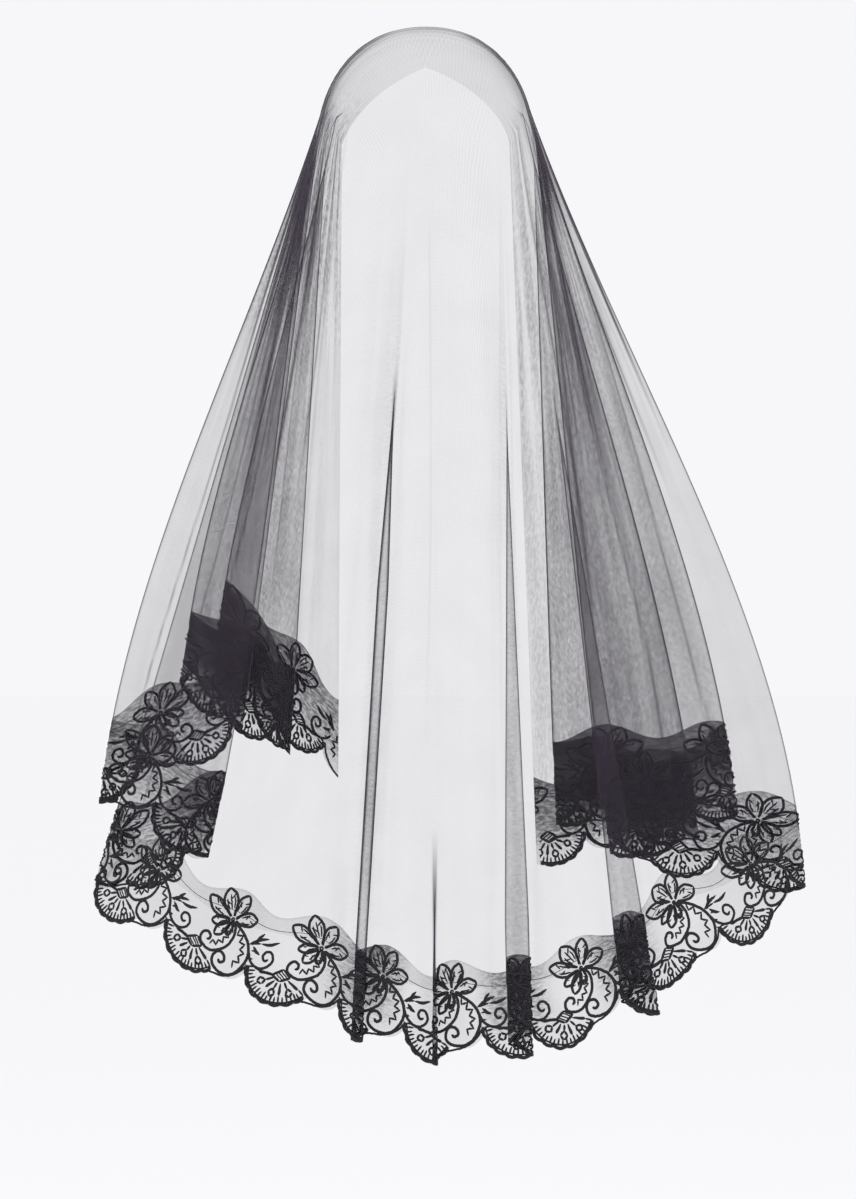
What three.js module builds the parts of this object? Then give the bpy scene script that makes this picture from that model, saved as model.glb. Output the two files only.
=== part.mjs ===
import * as THREE from 'three';

// A lace veil as it hangs from a head, with its open front towards +Y.
// Millimetres, +Z up, +X to the right. The origin is the underside of the cloth at the top of the crown.

// Crown: the rounded form that the cloth keeps over the head
const CROWN_HALF_WIDTH = 95;
const CROWN_HALF_DEPTH = 106;
const CROWN_HEIGHT = 112;
const CROWN_SQUARENESS = 2.2;
const FRONT_EDGE_DEPTH = 75;

// Cloth
const NET_WALL = 1.0;
const LACE_WALL = 1.0;
const SEAM_GAP = 1.1;
const LEAST_SEAM_SINE = 0.3;

// Lace: one repeat along the hem, and heights above the point where its flower sits
const REPEAT = 88;
const LACE_DROP = 60;
const TOP_EDGE = 20;
const TOP_EDGE_WAVE = 7;
const FIRST_FLOWER = 2;
const FAN = { centre: -28, halfWidth: 33, base: -30, depth: 30 };
const SCROLL = { centre: 12, halfWidth: 19, base: -28, depth: 20 };
const NOTCH_HEIGHT = -30;
const WINDOW_SCALE = 0.62;
const WINDOWS = [
  { along: -34, row: 2 },
  { along: -12, row: 2 },
  { along: 14, row: 1 },
  { along: 46, row: 0 },
];

// Sampling of the faceted cloth
const COLUMNS = 256;
const COLUMN_LENGTH = 30;
const COLUMN_TURN = 75;
const CLOSEST_COLUMNS = 1.8;
const FINE_STEPS = 4000;
const HANGING_ROWS = 7;
const LACE_ROWS = 3;
const SMALL_SHARE = 0.01;

// Lines of cloth from the left front corner, round the back, to the right front corner.
// x, y, z: where the line ends at the hem. turn: where it leaves the crown, in degrees round it from +X.
// bow: how far it swings out before it drops. overlap: the full width of a pressed pleat on this line.
// start, full: the shares of the fall at which the pleat begins and reaches that width.
// A line whose name ends in outer or inner is a sharp fold.
const FOLDS = [
  { name: 'left_front_edge', x: -78, y: 150, z: -666, turn: 139, bow: 0 },
  { name: 'left_lappet_outer', x: -189, y: 128, z: -555, turn: 147, bow: 0.5 },
  { name: 'left_lappet_inner', x: -120, y: 106, z: -643, turn: 154, bow: 0 },
  { name: 'left_third_outer', x: -216, y: 84, z: -576, turn: 161, bow: 0.65 },
  { name: 'left_second_inner', x: -162, y: 62, z: -625, turn: 168, bow: 0 },
  { name: 'left_second_outer', x: -284, y: 34, z: -674, turn: 176, bow: 0.7 },
  { name: 'left_first_inner', x: -190, y: 2, z: -730, turn: 184, bow: -0.5 },
  { name: 'left_first_outer', x: -290, y: -36, z: -760, turn: 193, bow: 0 },
  { name: 'back_left_side', x: -228, y: -84, z: -793, turn: 205, bow: 0.2 },
  { name: 'back_left', x: -170, y: -112, z: -828, turn: 218, bow: 0.2 },
  { name: 'back_left_hollow', x: -106, y: -130, z: -844, turn: 240, bow: 0.1 },
  { name: 'left_pleat', x: -59, y: -142, z: -867, turn: 262, bow: 0, overlap: 14.5, start: 0.24, full: 0.5 },
  { name: 'back_middle_left', x: -25, y: -146, z: -877, turn: 267, bow: 0 },
  { name: 'back_middle', x: 7, y: -144, z: -886, turn: 276, bow: 0, overlap: 9, start: 0.74, full: 0.95 },
  { name: 'back_middle_right', x: 43, y: -149, z: -883, turn: 292, bow: 0 },
  { name: 'middle_pleat', x: 79, y: -147, z: -880, turn: 311, bow: 0, overlap: 25, start: 0.27, full: 0.85 },
  { name: 'back_right_swell', x: 121, y: -140, z: -872, turn: 316, bow: 0.1 },
  { name: 'back_right', x: 151, y: -130, z: -859, turn: 319, bow: 0.1 },
  { name: 'right_pleat', x: 181, y: -122, z: -846, turn: 322, bow: 0.1, overlap: 36, start: 0.29, full: 1 },
  { name: 'back_right_hollow', x: 217, y: -104, z: -815, turn: 328, bow: 0.2 },
  { name: 'back_right_side', x: 268, y: -80, z: -796, turn: 337, bow: 0.4 },
  { name: 'right_first_outer', x: 325, y: -34, z: -750, turn: 349, bow: 0.95 },
  { name: 'right_first_inner', x: 161, y: 8, z: -727, turn: 356, bow: -0.3 },
  { name: 'right_second_outer', x: 272, y: 44, z: -684, turn: 363, bow: 0.7 },
  { name: 'right_second_inner', x: 114, y: 78, z: -693, turn: 372, bow: -0.2 },
  { name: 'right_lappet_outer', x: 243, y: 112, z: -719, turn: 383, bow: 0.6 },
  { name: 'right_front_edge', x: 99, y: 148, z: -734, turn: 401, bow: 0 },
];
const PLEAT_DEPTH = 4;
const PLEAT_ROUND = 1.7;
const PLEAT_REACH = 26;
const TIP_REACH = 12;

const COLUMNS_OF_A_LINE = ['x', 'y', 'z', 'turn', 'bow', 'shiftX', 'shiftY', 'start', 'full'];

const degrees = (angle) => (angle * Math.PI) / 180;

const mix = (a, b, share) => a + (b - a) * share;

function mixLines(a, b, share) {
  const line = {};
  for (const column of COLUMNS_OF_A_LINE) {
    line[column] = mix(a[column], b[column], share);
  }
  return line;
}

const hemDistance = (a, b) => Math.hypot(b.x - a.x, b.y - a.y, b.z - a.z);

// A line a short reach beside a fold, on the way to its neighbour
function lineBeside(line, neighbour, reach) {
  const share = Math.min(0.45, reach / hemDistance(line, neighbour));
  return { ...mixLines(line, neighbour, share), shiftX: 0, shiftY: 0, start: line.start, full: line.full };
}

// A pleat is two folds on one line: the cloth runs past it, turns back and goes on
function pleatLines(line) {
  const reach = line.overlap / 2 - PLEAT_ROUND;
  return [
    { ...line, x: line.x - 2, shiftX: reach, shiftY: -PLEAT_DEPTH },
    { ...line, x: line.x - 1, shiftX: reach, shiftY: 2 * PLEAT_ROUND - PLEAT_DEPTH },
    { ...line, x: line.x + 1, shiftX: -reach, shiftY: PLEAT_DEPTH - 2 * PLEAT_ROUND },
    { ...line, x: line.x + 2, shiftX: -reach, shiftY: PLEAT_DEPTH },
  ];
}

function withFolds(folds) {
  const plain = folds.map((fold) => ({ shiftX: 0, shiftY: 0, overlap: 0, start: 0, full: 1, ...fold }));
  return plain.flatMap((line, index) => {
    const isSharp = line.name.endsWith('outer') || line.name.endsWith('inner');
    if (line.overlap === 0 && !isSharp) {
      return [line];
    }
    const reach = isSharp ? TIP_REACH : PLEAT_REACH;
    const before = lineBeside(line, plain[index - 1], reach);
    const after = lineBeside(line, plain[index + 1], reach);
    return [before, ...(isSharp ? [line] : pleatLines(line)), after];
  });
}

// Smooth curve through the lines, with every column interpolated alike
function smoothThrough(lines) {
  const knots = [0];
  for (let i = 1; i < lines.length; i += 1) {
    const a = lines[i - 1];
    const b = lines[i];
    const dx = b.x + b.shiftX - a.x - a.shiftX;
    const dy = b.y + b.shiftY - a.y - a.shiftY;
    knots.push(knots[i - 1] + Math.sqrt(Math.hypot(dx, dy, b.z - a.z)));
  }
  const slope = (column, i, j) => (lines[j][column] - lines[i][column]) / (knots[j] - knots[i]);
  const tangent = (column, i) => {
    if (i === 0) {
      return slope(column, 0, 1);
    }
    if (i === lines.length - 1) {
      return slope(column, i - 1, i);
    }
    return slope(column, i - 1, i) - slope(column, i - 1, i + 1) + slope(column, i, i + 1);
  };
  const last = knots[knots.length - 1];
  return (share) => {
    const knot = share * last;
    let i = 0;
    while (i < lines.length - 2 && knot > knots[i + 1]) {
      i += 1;
    }
    const span = knots[i + 1] - knots[i];
    const p = (knot - knots[i]) / span;
    const line = {};
    for (const column of COLUMNS_OF_A_LINE) {
      const from = lines[i][column];
      const to = lines[i + 1][column];
      const out = tangent(column, i) * span;
      const into = tangent(column, i + 1) * span;
      const rise = (2 * p ** 3 - 3 * p ** 2 + 1) * from + (3 * p ** 2 - 2 * p ** 3) * to;
      line[column] = rise + (p ** 3 - 2 * p ** 2 + p) * out + (p ** 3 - p ** 2) * into;
    }
    return line;
  };
}

// The crown is a rounded form: |x/a|^n + |y/b|^n + |z/c|^n = 1 round its centre
const CROWN_AXES = new THREE.Vector3(CROWN_HALF_WIDTH, CROWN_HALF_DEPTH, CROWN_HEIGHT);
const CROWN_CENTRE = new THREE.Vector3(0, 0, -CROWN_HEIGHT);

function onCrown(direction) {
  let size = 0;
  for (const axis of ['x', 'y', 'z']) {
    size += Math.abs(direction[axis] / CROWN_AXES[axis]) ** CROWN_SQUARENESS;
  }
  return direction.clone().multiplyScalar(size ** (-1 / CROWN_SQUARENESS)).add(CROWN_CENTRE);
}

function crownNormal(point) {
  const offset = point.clone().sub(CROWN_CENTRE);
  const part = (axis) => {
    const share = Math.abs(offset[axis]) / CROWN_AXES[axis];
    return (Math.sign(offset[axis]) * share ** (CROWN_SQUARENESS - 1)) / CROWN_AXES[axis];
  };
  return new THREE.Vector3(part('x'), part('y'), part('z')).normalize();
}

function crownDirection(turn, tilt) {
  const level = Math.sin(tilt);
  return new THREE.Vector3(
    CROWN_HALF_WIDTH * level * Math.cos(turn),
    CROWN_HALF_DEPTH * level * Math.sin(turn),
    CROWN_HEIGHT * Math.cos(tilt),
  );
}

// The middle of the straight front edge, on the front of the crown, where all lines of cloth meet
const frontShare = FRONT_EDGE_DEPTH / CROWN_HALF_DEPTH;
const FRONT_POINT = new THREE.Vector3(
  0,
  FRONT_EDGE_DEPTH,
  CROWN_HEIGHT * (1 - frontShare ** CROWN_SQUARENESS) ** (1 / CROWN_SQUARENESS) - CROWN_HEIGHT,
);

// A line leaves the crown where its straight fall to the hem touches the crown
function leavingPoint(line) {
  const hem = new THREE.Vector3(line.x, line.y, line.z);
  let low = degrees(10);
  let high = degrees(110);
  for (let step = 0; step < 40; step += 1) {
    const tilt = (low + high) / 2;
    const point = onCrown(crownDirection(degrees(line.turn), tilt));
    if (crownNormal(point).dot(hem.clone().sub(point)) < 0) {
      low = tilt;
    } else {
      high = tilt;
    }
  }
  return onCrown(crownDirection(degrees(line.turn), (low + high) / 2));
}

// Part of the line that lies on the crown, from the front point to the leaving point
function crownPoint(line, share) {
  const from = FRONT_POINT.clone().sub(CROWN_CENTRE);
  const to = line.leave.clone().sub(CROWN_CENTRE);
  const angle = from.angleTo(to);
  const a = from.normalize().multiplyScalar(Math.sin((1 - share) * angle));
  const b = to.normalize().multiplyScalar(Math.sin(share * angle));
  return onCrown(a.add(b));
}

// Part of the line that hangs free, from the leaving point to the hem
function hangingPoint(line, share) {
  const spread = share + line.bow * share * share * (1 - share);
  const pleat = Math.min(1, Math.max(0, (share - line.start) / (line.full - line.start)));
  return new THREE.Vector3(
    mix(line.leave.x, line.x, spread) + pleat * line.shiftX,
    mix(line.leave.y, line.y, spread) + pleat * line.shiftY,
    mix(line.leave.z, line.z, share),
  );
}

const hangingLength = (line) => hemDistance(line, line.leave);

// Columns stand close together in the folds and further apart where the cloth is plain
function hemColumns(curve, count) {
  const samples = [];
  for (let i = 0; i <= FINE_STEPS; i += 1) {
    const line = curve(i / FINE_STEPS);
    samples.push(new THREE.Vector3(line.x + line.shiftX, line.y + line.shiftY, line.z));
  }
  const lengths = [0];
  const measures = [0];
  for (let i = 1; i <= FINE_STEPS; i += 1) {
    const step = samples[i].distanceTo(samples[i - 1]);
    let turn = 0;
    if (i > 1) {
      const ahead = samples[i].clone().sub(samples[i - 1]);
      const behind = samples[i - 1].clone().sub(samples[i - 2]);
      turn = ahead.angleTo(behind);
    }
    lengths.push(lengths[i - 1] + step);
    const closeness = Math.min(turn / degrees(COLUMN_TURN), step / CLOSEST_COLUMNS);
    measures.push(measures[i - 1] + step / COLUMN_LENGTH + closeness);
  }
  const columns = [];
  let i = 0;
  for (let j = 0; j <= count; j += 1) {
    const wanted = (measures[FINE_STEPS] * j) / count;
    while (i < FINE_STEPS - 1 && measures[i + 1] < wanted) {
      i += 1;
    }
    const part = (wanted - measures[i]) / (measures[i + 1] - measures[i]);
    const line = curve((i + part) / FINE_STEPS);
    line.leave = leavingPoint(line);
    line.hem = mix(lengths[i], lengths[i + 1], part);
    columns.push(line);
  }
  return columns;
}

// Height of the lace's two edges at a distance along the hem
function alongRepeat(hem) {
  const phase = (hem - FIRST_FLOWER) / REPEAT;
  return (phase - Math.round(phase)) * REPEAT;
}

const topEdge = (hem) => TOP_EDGE + TOP_EDGE_WAVE * Math.cos((2 * Math.PI * alongRepeat(hem)) / REPEAT);

function lobe(shape, along) {
  const across = (along - shape.centre) / shape.halfWidth;
  return Math.abs(across) < 1 ? shape.base - shape.depth * Math.sqrt(1 - across * across) : NOTCH_HEIGHT;
}

function scallopEdge(hem) {
  const along = alongRepeat(hem);
  return Math.min(NOTCH_HEIGHT, lobe(FAN, along), lobe(FAN, along - REPEAT), lobe(SCROLL, along));
}

// Share of the fall at which a height of the lace lies
const lacePlace = (line, height) => 1 - (LACE_DROP + height) / hangingLength(line);

// The seam keeps its gap square to itself where the hem slopes across the lines of cloth
function addSeamGaps(columns) {
  const seam = columns.map((line) => hangingPoint(line, lacePlace(line, topEdge(line.hem))));
  const last = columns.length - 1;
  columns.forEach((line, i) => {
    const along = seam[Math.min(i + 1, last)].clone().sub(seam[Math.max(i - 1, 0)]);
    const fall = hangingPoint(line, 1).sub(seam[i]);
    line.seamGap = SEAM_GAP / Math.max(LEAST_SEAM_SINE, Math.sin(along.angleTo(fall)));
  });
}

// A sheet is a list of points, their normals and triangles, to which rows of points are added and joined.
// Each row is given with the direction in which the cloth runs up from it, at every point.
class Sheet {
  constructor() {
    this.points = [];
    this.normals = [];
    this.triangles = [];
  }

  addRow(points, upwards) {
    const first = this.points.length;
    const last = points.length - 1;
    points.forEach((point, i) => {
      const along = points[Math.min(i + 1, last)].clone().sub(points[Math.max(i - 1, 0)]);
      this.points.push(point);
      this.normals.push(along.cross(upwards[i]).normalize());
    });
    return points.map((_, index) => first + index);
  }

  joinRows(upper, lower) {
    const ratio = (lower.length - 1) / (upper.length - 1);
    for (let i = 0; i < upper.length - 1; i += 1) {
      if (ratio === 1) {
        this.addCell([upper[i], upper[i + 1], lower[i + 1], lower[i]]);
      } else {
        const [left, middle, right] = lower.slice(2 * i, 2 * i + 3);
        this.triangles.push([upper[i], middle, left]);
        this.triangles.push([upper[i], upper[i + 1], middle]);
        this.triangles.push([upper[i + 1], right, middle]);
      }
    }
  }

  addCell([a, b, c, d]) {
    this.triangles.push([a, b, c], [a, c, d]);
  }

  // A cell with a window in its middle
  addWindowCell(corners) {
    const centre = new THREE.Vector3();
    const normal = new THREE.Vector3();
    for (const corner of corners) {
      centre.addScaledVector(this.points[corner], 0.25);
      normal.add(this.normals[corner]);
    }
    const inner = corners.map((corner) => {
      this.points.push(centre.clone().lerp(this.points[corner], WINDOW_SCALE));
      this.normals.push(normal.clone().normalize());
      return this.points.length - 1;
    });
    for (let i = 0; i < 4; i += 1) {
      const next = (i + 1) % 4;
      this.addCell([corners[i], corners[next], inner[next], inner[i]]);
    }
  }
}

// Gives a sheet its wall: two faces and a rim along every open edge
function thicken(sheet, wall) {
  const count = sheet.points.length;
  const positions = [];
  for (const side of [-0.5, 0.5]) {
    sheet.points.forEach((point, i) => {
      positions.push(...point.clone().addScaledVector(sheet.normals[i], side * wall));
    });
  }
  const edges = new Map();
  const index = [];
  for (const [a, b, c] of sheet.triangles) {
    index.push(a, b, c, a + count, c + count, b + count);
    [[a, b], [b, c], [c, a]].forEach(([from, to]) => edges.set(`${from},${to}`, [from, to]));
  }
  for (const [from, to] of edges.values()) {
    if (!edges.has(`${to},${from}`)) {
      index.push(from, from + count, to + count, from, to + count, to);
    }
  }
  const geometry = new THREE.BufferGeometry();
  geometry.setAttribute('position', new THREE.Float32BufferAttribute(positions, 3));
  geometry.setIndex(index);
  return geometry;
}

const every = (columns, step) => columns.filter((_, index) => index % step === 0);

function crownRow(sheet, lines, share) {
  const points = lines.map((line) => crownPoint(line, share));
  const upwards = lines.map((line, i) => crownPoint(line, share - SMALL_SHARE).sub(points[i]));
  return sheet.addRow(points, upwards);
}

function hangingRow(sheet, lines, shareOf) {
  const points = lines.map((line) => hangingPoint(line, shareOf(line)));
  const upwards = lines.map((line, i) => hangingPoint(line, shareOf(line) - SMALL_SHARE).sub(points[i]));
  return sheet.addRow(points, upwards);
}

// The net: few columns on the crown, more where the folds hang, and twice as many at the seam
function netSheet(columns) {
  const sheet = new Sheet();
  const hanging = every(columns, 2);
  sheet.points.push(FRONT_POINT);
  sheet.normals.push(crownNormal(FRONT_POINT));
  const front = 0;
  const crownRows = [
    { share: 0.15, step: 8 },
    { share: 0.305, step: 8 },
    { share: 0.5, step: 4 },
    { share: 0.75, step: 4 },
  ];
  let upper = null;
  for (const { share, step } of crownRows) {
    const row = crownRow(sheet, every(columns, step), share);
    if (upper === null) {
      for (let i = 0; i < row.length - 1; i += 1) {
        sheet.triangles.push([front, row[i + 1], row[i]]);
      }
    } else {
      sheet.joinRows(upper, row);
    }
    upper = row;
  }
  for (let r = 0; r <= HANGING_ROWS; r += 1) {
    const lines = r === HANGING_ROWS ? columns : hanging;
    const seam = (line) => lacePlace(line, topEdge(line.hem) + line.seamGap / 2);
    const row = hangingRow(sheet, lines, (line) => (seam(line) * r) / HANGING_ROWS);
    sheet.joinRows(upper, row);
    upper = row;
  }
  return sheet;
}

function hasWindow(left, right, row) {
  const centre = alongRepeat((left.hem + right.hem) / 2);
  const reach = (right.hem - left.hem) / 2;
  const from = centre - reach;
  const to = centre + reach;
  return WINDOWS.some((window) => window.row === row && from <= window.along && window.along < to);
}

function laceSheet(columns) {
  const sheet = new Sheet();
  let upper = null;
  for (let r = 0; r <= LACE_ROWS; r += 1) {
    const height = (line) => mix(topEdge(line.hem) - line.seamGap / 2, scallopEdge(line.hem), r / LACE_ROWS);
    const row = hangingRow(sheet, columns, (line) => lacePlace(line, height(line)));
    for (let i = 0; upper !== null && i < row.length - 1; i += 1) {
      const corners = [upper[i], upper[i + 1], row[i + 1], row[i]];
      if (hasWindow(columns[i], columns[i + 1], r - 1)) {
        sheet.addWindowCell(corners);
      } else {
        sheet.addCell(corners);
      }
    }
    upper = row;
  }
  return sheet;
}

const netMaterial = new THREE.MeshStandardMaterial({ color: 0x3a3840, roughness: 0.85, metalness: 0 });
const laceMaterial = new THREE.MeshStandardMaterial({ color: 0x14141a, roughness: 0.6, metalness: 0 });

function clothPiece(name, sheet, wall, material) {
  const mesh = new THREE.Mesh(thicken(sheet, wall), material);
  mesh.name = name;
  return mesh;
}

const hemCurve = smoothThrough(withFolds(FOLDS));
const hemLines = hemColumns(hemCurve, COLUMNS);
addSeamGaps(hemLines);

const veil = new THREE.Group();
veil.add(clothPiece('veil_net', netSheet(hemLines), NET_WALL, netMaterial));
veil.add(clothPiece('lace_edging', laceSheet(hemLines), LACE_WALL, laceMaterial));

export default veil;
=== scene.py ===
import math

import bpy
import numpy as np
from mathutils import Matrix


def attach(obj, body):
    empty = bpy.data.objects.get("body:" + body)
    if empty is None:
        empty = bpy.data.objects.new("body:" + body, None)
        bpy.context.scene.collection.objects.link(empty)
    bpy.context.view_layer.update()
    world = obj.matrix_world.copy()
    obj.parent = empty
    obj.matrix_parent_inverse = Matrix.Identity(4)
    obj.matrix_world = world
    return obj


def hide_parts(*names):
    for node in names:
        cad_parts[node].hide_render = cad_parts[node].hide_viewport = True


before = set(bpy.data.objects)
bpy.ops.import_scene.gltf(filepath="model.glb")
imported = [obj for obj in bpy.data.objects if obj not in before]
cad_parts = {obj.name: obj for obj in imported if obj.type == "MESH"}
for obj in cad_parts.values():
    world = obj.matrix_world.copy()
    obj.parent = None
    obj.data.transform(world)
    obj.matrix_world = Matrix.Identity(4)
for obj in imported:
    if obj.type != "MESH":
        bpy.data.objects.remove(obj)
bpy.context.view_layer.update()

# Lengths below are millimetres in the frame's own axes, and meshes are made in metres
MM = 0.001

# Crown: the rounded form that the cloth keeps at its top
CROWN_AXES = np.array([95.0, 106.0, 112.0])
CROWN_CENTRE = np.array([0.0, 0.0, -112.0])
CROWN_SQUARENESS = 2.2
FRONT_EDGE_DEPTH = 75.0

# Lace: one repeat along the hem, and heights above the point where its flower sits
REPEAT = 88.0
LACE_DROP = 60.0
TOP_EDGE = 20.0
TOP_EDGE_WAVE = 7.0
FIRST_FLOWER = 2.0
NET_CUT_EDGE = 2.0
FAN_LOBE = (-28.0, 33.0, -30.0, 30.0)
SCROLL_LOBE = (12.0, 19.0, -28.0, 20.0)
NOTCH_HEIGHT = -30.0

# Lines of cloth from the left front corner, round the back, to the right front corner:
# name, x, y and z at the hem, turn round the crown in degrees, bow,
# pleat overlap, the shares of the fall where the pleat starts and has its full width,
# and how closely the net is gathered. Lines named outer or inner are sharp folds.
FOLDS = [
    ("left_front_edge", -78, 150, -666, 139, 0.0, 0, 0, 1, 1.3),
    ("left_lappet_outer", -189, 128, -555, 147, 0.5, 0, 0, 1, 1.45),
    ("left_lappet_inner", -120, 106, -643, 154, 0.0, 0, 0, 1, 1.7),
    ("left_third_outer", -216, 84, -576, 161, 0.65, 0, 0, 1, 1.7),
    ("left_second_inner", -162, 62, -625, 168, 0.0, 0, 0, 1, 1.45),
    ("left_second_outer", -284, 34, -674, 176, 0.7, 0, 0, 1, 1.2),
    ("left_first_inner", -190, 2, -730, 184, -0.5, 0, 0, 1, 1.4),
    ("left_first_outer", -290, -36, -760, 193, 0.0, 0, 0, 1, 1.05),
    ("back_left_side", -228, -84, -793, 205, 0.2, 0, 0, 1, 1.0),
    ("back_left", -170, -112, -828, 218, 0.2, 0, 0, 1.0, 1.0),
    ("back_left_hollow", -106, -130, -844, 240, 0.1, 0, 0, 1.0, 1.0),
    ("left_pleat", -59, -142, -867, 262, 0.0, 14.5, 0.24, 0.5, 1.5),
    ("back_middle_left", -25, -146, -877, 267, 0.0, 0, 0, 1.0, 1.0),
    ("back_middle", 7, -144, -886, 276, 0.0, 9, 0.74, 0.95, 1.1),
    ("back_middle_right", 43, -149, -883, 292, 0.0, 0, 0, 1.0, 1.0),
    ("middle_pleat", 79, -147, -880, 311, 0.0, 25, 0.27, 0.85, 1.5),
    ("back_right_swell", 121, -140, -872, 316, 0.1, 0, 0, 1, 1.0),
    ("back_right", 151, -130, -859, 319, 0.1, 0, 0, 1, 1.0),
    ("right_pleat", 181, -122, -846, 322, 0.1, 36, 0.29, 1.0, 1.5),
    ("back_right_hollow", 217, -104, -815, 328, 0.2, 0, 0, 1, 1.0),
    ("back_right_side", 268, -80, -796, 337, 0.4, 0, 0, 1, 1.0),
    ("right_first_outer", 325, -34, -750, 349, 0.95, 0, 0, 1, 1.1),
    ("right_first_inner", 161, 8, -727, 356, -0.3, 0, 0, 1, 1.6),
    ("right_second_outer", 272, 44, -684, 363, 0.7, 0, 0, 1, 1.5),
    ("right_second_inner", 114, 78, -693, 372, -0.2, 0, 0, 1, 1.75),
    ("right_lappet_outer", 243, 112, -719, 383, 0.6, 0, 0, 1, 1.6),
    ("right_front_edge", 99, 148, -734, 401, 0.0, 0, 0, 1, 1.6),
]
PLEAT_DEPTH = 4.0
PLEAT_ROUND = 1.7
PLEAT_REACH = 26.0
PLEAT_TURN = 0.5
TIP_REACH = 9.0
MOST_REACH_SHARE = 0.45
FINE_STEPS = 9000

# A line's columns, once its pleats are made
X, Y, Z, TURN, BOW, SHIFT_X, SHIFT_Y, START, FULL, GATHER = range(10)


def lines_with_pleats():
    """A pleat is two folds on one line: the cloth runs past it, turns back and goes on."""
    plain = [np.array([*fold[1:6], 0, 0, *fold[7:]], float) for fold in FOLDS]
    lines = []
    for i, fold in enumerate(FOLDS):
        line = plain[i]
        overlap = fold[6]
        sharp = fold[0].endswith(("outer", "inner"))
        if overlap == 0 and not sharp:
            lines.append(line)
            continue
        near = []
        for other in (plain[i - 1], plain[i + 1]):
            reach = TIP_REACH if sharp else PLEAT_REACH
            share = min(MOST_REACH_SHARE, reach / np.linalg.norm(other[:3] - line[:3]))
            beside = line + (other - line) * share
            beside[START:GATHER] = line[START:GATHER]
            near.append(beside)
        if sharp:
            lines += [near[0], line, near[1]]
            continue
        reach = overlap / 2 - PLEAT_ROUND
        lines.append(near[0])
        for step, across, deep in (
            (-2, reach, -PLEAT_DEPTH),
            (-1, reach, 2 * PLEAT_ROUND - PLEAT_DEPTH),
            (1, -reach, PLEAT_DEPTH - 2 * PLEAT_ROUND),
            (2, -reach, PLEAT_DEPTH),
        ):
            fold_line = line.copy()
            fold_line[X] += step
            fold_line[TURN] += step * PLEAT_TURN
            fold_line[SHIFT_X] = across
            fold_line[SHIFT_Y] = deep
            lines.append(fold_line)
        lines.append(near[1])
    return np.array(lines)


def smooth_through(lines, shares):
    """Smooth curve through the lines, with every column interpolated alike."""
    places = lines[:, :3].copy()
    places[:, 0] += lines[:, SHIFT_X]
    places[:, 1] += lines[:, SHIFT_Y]
    steps = np.sqrt(np.linalg.norm(np.diff(places, axis=0), axis=1))
    knots = np.concatenate([[0], np.cumsum(steps)])
    slopes = np.diff(lines, axis=0) / steps[:, None]
    tangents = np.zeros_like(lines)
    tangents[0] = slopes[0]
    tangents[-1] = slopes[-1]
    wide = (lines[2:] - lines[:-2]) / (knots[2:] - knots[:-2])[:, None]
    tangents[1:-1] = slopes[:-1] - wide + slopes[1:]
    # The turn round the crown never runs back on itself
    least = 3 * np.minimum(slopes[:-1, TURN], slopes[1:, TURN])
    tangents[1:-1, TURN] = np.clip(tangents[1:-1, TURN], 0, np.maximum(least, 0))
    at = shares * knots[-1]
    i = np.clip(np.searchsorted(knots, at, side="left") - 1, 0, len(lines) - 2)
    span = steps[i][:, None]
    p = ((at - knots[i]) / steps[i])[:, None]
    value = (2 * p**3 - 3 * p**2 + 1) * lines[i] + (3 * p**2 - 2 * p**3) * lines[i + 1]
    return value + (p**3 - 2 * p**2 + p) * span * tangents[i] + (p**3 - p**2) * span * tangents[i + 1]


def on_crown(direction):
    size = (np.abs(direction / CROWN_AXES) ** CROWN_SQUARENESS).sum(-1, keepdims=True)
    return direction * size ** (-1 / CROWN_SQUARENESS) + CROWN_CENTRE


def crown_normal(point):
    offset = (point - CROWN_CENTRE) / CROWN_AXES
    normal = np.sign(offset) * np.abs(offset) ** (CROWN_SQUARENESS - 1) / CROWN_AXES
    return unit(normal)


def unit(vectors):
    return vectors / np.maximum(np.linalg.norm(vectors, axis=-1, keepdims=True), 1e-12)


FRONT_SHARE = (FRONT_EDGE_DEPTH / CROWN_AXES[1]) ** CROWN_SQUARENESS
FRONT_HEIGHT = CROWN_AXES[2] * ((1 - FRONT_SHARE) ** (1 / CROWN_SQUARENESS) - 1)
FRONT_POINT = np.array([0, FRONT_EDGE_DEPTH, FRONT_HEIGHT])

# The tilts from the crown's top, in degrees, between which every line leaves it, and the steps of the search
LEAST_TILT = 10
MOST_TILT = 110
HALVINGS = 40


def leaving_points(lines):
    """A line leaves the crown where its straight fall to the hem touches the crown."""
    turn = np.radians(lines[:, TURN])
    low = np.full(len(lines), math.radians(LEAST_TILT))
    high = np.full(len(lines), math.radians(MOST_TILT))

    def point_at(tilt):
        level = np.sin(tilt)
        parts = [level * np.cos(turn), level * np.sin(turn), np.cos(tilt)]
        return on_crown(np.stack(parts, axis=1) * CROWN_AXES)

    for _ in range(HALVINGS):
        tilt = (low + high) / 2
        point = point_at(tilt)
        inside = (crown_normal(point) * (lines[:, :3] - point)).sum(1) < 0
        low = np.where(inside, tilt, low)
        high = np.where(inside, high, tilt)
    return point_at((low + high) / 2)


def smoothstep(value):
    clamped = np.clip(value, 0, 1)
    return clamped * clamped * (3 - 2 * clamped)


# The hem, sampled finely once: every column of a line against the distance along the hem
hem_lines = smooth_through(lines_with_pleats(), np.linspace(0, 1, FINE_STEPS))
hem_leaves = leaving_points(hem_lines)
hem_places = hem_lines[:, :3].copy()
hem_places[:, 0] += hem_lines[:, SHIFT_X]
hem_places[:, 1] += hem_lines[:, SHIFT_Y]
hem_along = np.concatenate([[0], np.cumsum(np.linalg.norm(np.diff(hem_places, axis=0), axis=1))])
HEM_LENGTH = hem_along[-1]
hem_fall = np.linalg.norm(hem_lines[:, :3] - hem_leaves, axis=1)


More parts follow.
